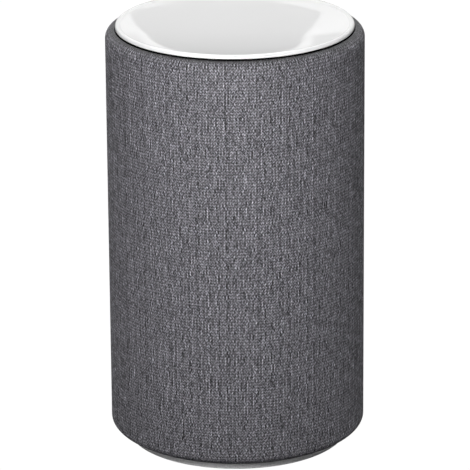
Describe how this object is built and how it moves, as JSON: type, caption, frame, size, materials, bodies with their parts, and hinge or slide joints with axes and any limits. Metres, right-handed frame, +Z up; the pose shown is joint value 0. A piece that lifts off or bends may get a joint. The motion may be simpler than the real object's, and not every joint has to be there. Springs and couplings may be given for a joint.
{
  "type": "smart speaker",
  "caption": "Round voice-controlled speaker with a knit sleeve, a glossy dished touch top, a down-firing woofer, an up-firing tweeter and a rear panel with a power inlet and mute switch.",
  "frame": {"origin": "centre of the foot pad's contact plane, on the cylinder's axis", "axes": "+Z up along the cylinder's axis, +Y towards the rear port panel, so -Y faces the listener"},
  "size_m": [0.088, 0.088, 0.148],
  "materials": {
    "knit_fabric": "heather knit, matte",
    "gloss_white": "polished white",
    "black_plastic": "fine matte black",
    "satin_grey": "satin grey, turned finish",
    "soft_rubber": "matte",
    "diffuser": "milky translucent",
    "circuit_board": "solder mask",
    "steel": "plain",
    "black_steel": "black powder coat",
    "aluminium": "plain",
    "ferrite": "sintered",
    "paper_cone": "pressed, black",
    "cotton": "resin-stiffened cotton",
    "copper": "wound wire",
    "foam": "open-cell foam",
    "film": "polyimide film",
    "silk": "coated silk"
  },
  "bodies": {
    "chassis": {"fabric_sleeve": "knit_fabric", "grille_tube": "black_plastic", "top_dish": "gloss_white", "top_trim_ring": "black_plastic", "touch_foil": "film", "light_guide_ring": "diffuser", "top_pcb": "circuit_board", "top_frame": "black_plastic", "upper_frame": "black_plastic", "main_pcb": "circuit_board", "shield_can": "steel", "heat_sink": "aluminium", "enclosure": "black_plastic", "damping_foam": "foam", "tweeter_faceplate": "black_plastic", "tweeter_yoke": "steel", "tweeter_magnet": "steel", "tweeter_pole_plate": "steel", "woofer_basket": "black_steel", "woofer_gasket": "soft_rubber", "woofer_surround": "soft_rubber", "woofer_spider": "cotton", "woofer_top_plate": "steel", "woofer_magnet": "ferrite", "woofer_yoke": "steel", "lower_frame": "black_plastic", "power_pcb": "circuit_board", "bulk_capacitor": "aluminium", "dc_jack": "black_plastic", "port_panel": "black_plastic", "base_cover": "black_plastic", "base_ring": "satin_grey", "foot_pad": "soft_rubber", "ribbon_cable": "film", "woofer_lead": "soft_rubber", "tweeter_lead": "soft_rubber", "power_cable": "soft_rubber", "base_screw_1": "steel", "base_screw_2": "steel", "base_screw_3": "steel", "base_screw_4": "steel", "woofer_screw_1": "steel", "woofer_screw_2": "steel", "woofer_screw_3": "steel", "woofer_screw_4": "steel", "lower_frame_screw_1": "steel", "lower_frame_screw_2": "steel", "lower_frame_screw_3": "steel", "upper_frame_screw_1": "steel", "upper_frame_screw_2": "steel", "upper_frame_screw_3": "steel", "top_frame_screw_1": "steel", "top_frame_screw_2": "steel", "top_frame_screw_3": "steel"},
    "woofer_diaphragm": {"woofer_cone": "paper_cone", "woofer_dust_cap": "paper_cone", "woofer_voice_coil": "copper"},
    "tweeter_diaphragm": {"tweeter_dome": "silk"},
    "mute_slider": {"mute_slider": "gloss_white"},
    "reset_button": {"reset_button": "black_plastic"}
  },
  "joints": [
    {"name": "woofer_excursion", "type": "slide", "parent": "chassis", "child": "woofer_diaphragm", "axis": [0, 0, 1], "range_m": [-0.0025, 0.0025], "stiffness_N_per_m": 800, "deforming": ["woofer_surround", "woofer_spider"]},
    {"name": "tweeter_excursion", "type": "slide", "parent": "chassis", "child": "tweeter_diaphragm", "axis": [0, 0, 1], "range_m": [-0.0003, 0.0003], "stiffness_N_per_m": 50},
    {"name": "mute_slide", "type": "slide", "parent": "chassis", "child": "mute_slider", "axis": [1, 0, 0], "range_m": [0, 0.0024]},
    {"name": "reset_press", "type": "slide", "parent": "chassis", "child": "reset_button", "axis": [0, -1, 0], "range_m": [0, 0.0005], "stiffness_N_per_m": 200}
  ]
}
